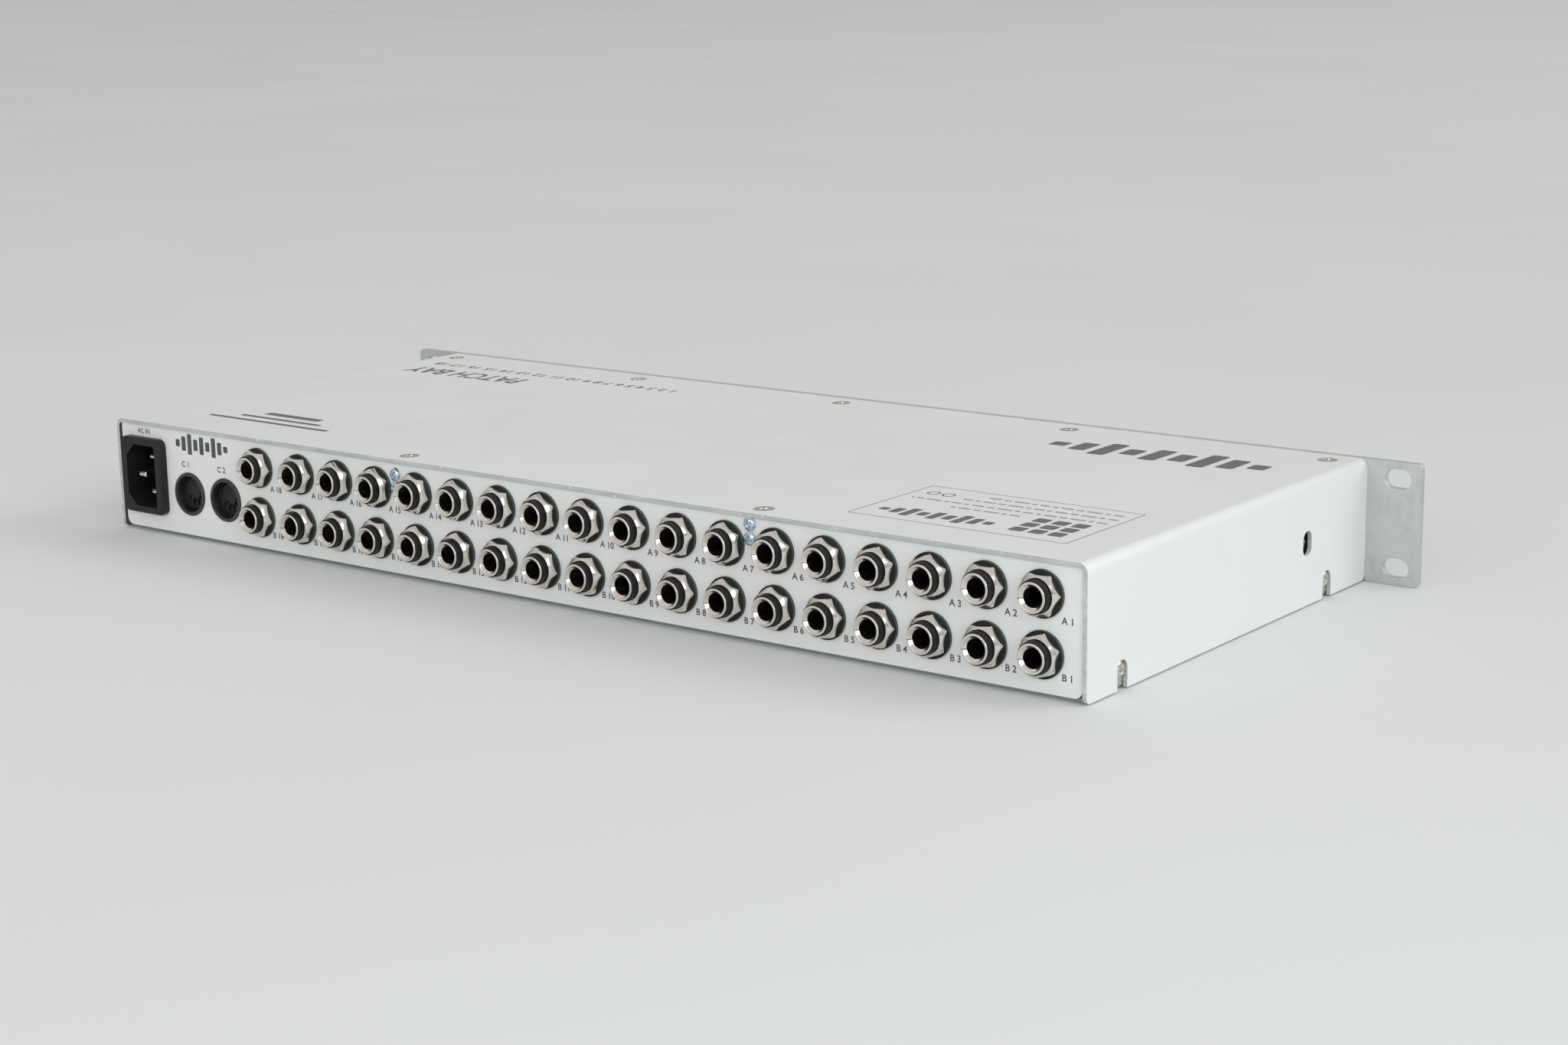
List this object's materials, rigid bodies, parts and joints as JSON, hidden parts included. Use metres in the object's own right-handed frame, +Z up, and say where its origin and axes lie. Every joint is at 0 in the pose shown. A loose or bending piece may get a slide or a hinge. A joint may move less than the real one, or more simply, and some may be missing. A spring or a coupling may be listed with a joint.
{
  "type": "audio patch bay",
  "caption": "One-unit rack switching patch bay with rows of quarter-inch jack sockets, round control sockets and a mains inlet behind, and push buttons and a power rocker in front.",
  "frame": {"origin": "on the resting plane under the middle of the whole unit's box", "axes": "+X to the right seen from the front, -Y out of the front panel, +Y out of the sockets, +Z up"},
  "size_m": [0.4826, 0.2006, 0.044],
  "materials": {
    "white_coat": "satin powder coat with a fine orange peel",
    "bare_aluminium": "matte mill finish",
    "panel_aluminium": "mottled matte aluminium behind, white coat in front",
    "nickel_screw": "dull nickel plate",
    "zinc_screw": "blue zinc plate",
    "black_plastic": "matte moulded",
    "inlet_plastic": "fine moulded grain",
    "nickel": "bright nickel plate",
    "black_washer": "matte fibre",
    "spring_metal": "tinned bronze",
    "circuit_board": "solder resist",
    "relay_case": "moulded",
    "chip_epoxy": "moulded epoxy",
    "transformer_tape": "polyester tape",
    "capacitor_sleeve": "shrink sleeve",
    "fuse_ceramic": "glazed ceramic",
    "insulator_sheet": "polyester sheet",
    "lead_sleeve": "flexible sleeve",
    "ribbon_sleeve": "flat ribbed sleeve",
    "led_lens": "tinted lens",
    "display_case": "seven-segment module",
    "window_tint": "tinted polished window",
    "rocker_plastic": "polished moulded",
    "button_cap": "fine moulded grain",
    "function_cap": "fine moulded grain"
  },
  "bodies": {
    "root": {"base_tray": "bare_aluminium", "board_screws": "zinc_screw", "board_standoffs": "zinc_screw", "bracket_screws": "zinc_screw", "button_leds": "led_lens", "cover_screws": "nickel_screw", "din_contacts": "spring_metal", "din_inserts": "black_plastic", "din_socket_bodies": "black_plastic", "display_module": "display_case", "display_window": "window_tint", "earth_stud": "zinc_screw", "front_board": "circuit_board", "front_panel": "panel_aluminium", "front_rail": "bare_aluminium", "iec_inlet_body": "inlet_plastic", "iec_pins": "spring_metal", "jack_board": "circuit_board", "jack_bodies": "black_plastic", "jack_ferrules": "nickel", "jack_nuts": "nickel", "jack_springs": "spring_metal", "jack_washers": "black_washer", "logic_chips": "chip_epoxy", "main_board": "circuit_board", "mains_leads": "lead_sleeve", "power_board": "circuit_board", "power_capacitors": "capacitor_sleeve", "power_fuse": "fuse_ceramic", "power_heatsink": "bare_aluminium", "power_insulator": "insulator_sheet", "power_transformer": "transformer_tape", "rear_brackets": "bare_aluminium", "rear_panel": "white_coat", "relays": "relay_case", "ribbon_cables": "ribbon_sleeve", "rocker_housing": "black_plastic", "side_brackets": "bare_aluminium", "side_screws": "nickel_screw", "tact_switches": "chip_epoxy", "top_cover": "white_coat"},
    "down_button": {"down_button": "function_cap"},
    "loop_button_01": {"loop_button_01": "button_cap"},
    "loop_button_02": {"loop_button_02": "button_cap"},
    "loop_button_03": {"loop_button_03": "button_cap"},
    "loop_button_04": {"loop_button_04": "button_cap"},
    "loop_button_05": {"loop_button_05": "button_cap"},
    "loop_button_06": {"loop_button_06": "button_cap"},
    "loop_button_07": {"loop_button_07": "button_cap"},
    "loop_button_08": {"loop_button_08": "button_cap"},
    "loop_button_09": {"loop_button_09": "button_cap"},
    "loop_button_10": {"loop_button_10": "button_cap"},
    "loop_button_11": {"loop_button_11": "button_cap"},
    "loop_button_12": {"loop_button_12": "button_cap"},
    "loop_button_13": {"loop_button_13": "button_cap"},
    "loop_button_14": {"loop_button_14": "button_cap"},
    "loop_button_15": {"loop_button_15": "button_cap"},
    "store_button": {"store_button": "function_cap"},
    "up_button": {"up_button": "function_cap"},
    "power_rocker": {"power_rocker": "rocker_plastic"}
  },
  "joints": [
    {"name": "down_button_press", "type": "slide", "parent": "root", "child": "down_button", "axis": [0, 1, 0], "range_m": [0, 0.001], "stiffness_N_per_m": 1500},
    {"name": "loop_button_01_press", "type": "slide", "parent": "root", "child": "loop_button_01", "axis": [0, 1, 0], "range_m": [0, 0.001], "stiffness_N_per_m": 1500},
    {"name": "loop_button_02_press", "type": "slide", "parent": "root", "child": "loop_button_02", "axis": [0, 1, 0], "range_m": [0, 0.001], "stiffness_N_per_m": 1500},
    {"name": "loop_button_03_press", "type": "slide", "parent": "root", "child": "loop_button_03", "axis": [0, 1, 0], "range_m": [0, 0.001], "stiffness_N_per_m": 1500},
    {"name": "loop_button_04_press", "type": "slide", "parent": "root", "child": "loop_button_04", "axis": [0, 1, 0], "range_m": [0, 0.001], "stiffness_N_per_m": 1500},
    {"name": "loop_button_05_press", "type": "slide", "parent": "root", "child": "loop_button_05", "axis": [0, 1, 0], "range_m": [0, 0.001], "stiffness_N_per_m": 1500},
    {"name": "loop_button_06_press", "type": "slide", "parent": "root", "child": "loop_button_06", "axis": [0, 1, 0], "range_m": [0, 0.001], "stiffness_N_per_m": 1500},
    {"name": "loop_button_07_press", "type": "slide", "parent": "root", "child": "loop_button_07", "axis": [0, 1, 0], "range_m": [0, 0.001], "stiffness_N_per_m": 1500},
    {"name": "loop_button_08_press", "type": "slide", "parent": "root", "child": "loop_button_08", "axis": [0, 1, 0], "range_m": [0, 0.001], "stiffness_N_per_m": 1500},
    {"name": "loop_button_09_press", "type": "slide", "parent": "root", "child": "loop_button_09", "axis": [0, 1, 0], "range_m": [0, 0.001], "stiffness_N_per_m": 1500},
    {"name": "loop_button_10_press", "type": "slide", "parent": "root", "child": "loop_button_10", "axis": [0, 1, 0], "range_m": [0, 0.001], "stiffness_N_per_m": 1500},
    {"name": "loop_button_11_press", "type": "slide", "parent": "root", "child": "loop_button_11", "axis": [0, 1, 0], "range_m": [0, 0.001], "stiffness_N_per_m": 1500},
    {"name": "loop_button_12_press", "type": "slide", "parent": "root", "child": "loop_button_12", "axis": [0, 1, 0], "range_m": [0, 0.001], "stiffness_N_per_m": 1500},
    {"name": "loop_button_13_press", "type": "slide", "parent": "root", "child": "loop_button_13", "axis": [0, 1, 0], "range_m": [0, 0.001], "stiffness_N_per_m": 1500},
    {"name": "loop_button_14_press", "type": "slide", "parent": "root", "child": "loop_button_14", "axis": [0, 1, 0], "range_m": [0, 0.001], "stiffness_N_per_m": 1500},
    {"name": "loop_button_15_press", "type": "slide", "parent": "root", "child": "loop_button_15", "axis": [0, 1, 0], "range_m": [0, 0.001], "stiffness_N_per_m": 1500},
    {"name": "store_button_press", "type": "slide", "parent": "root", "child": "store_button", "axis": [0, 1, 0], "range_m": [0, 0.001], "stiffness_N_per_m": 1500},
    {"name": "up_button_press", "type": "slide", "parent": "root", "child": "up_button", "axis": [0, 1, 0], "range_m": [0, 0.001], "stiffness_N_per_m": 1500},
    {"name": "power_rocker_tilt", "type": "hinge", "parent": "root", "child": "power_rocker", "pos_m": [0.198, -0.09475, 0.022], "axis": [-1, 0, 0], "range_deg": [0, 20]}
  ]
}
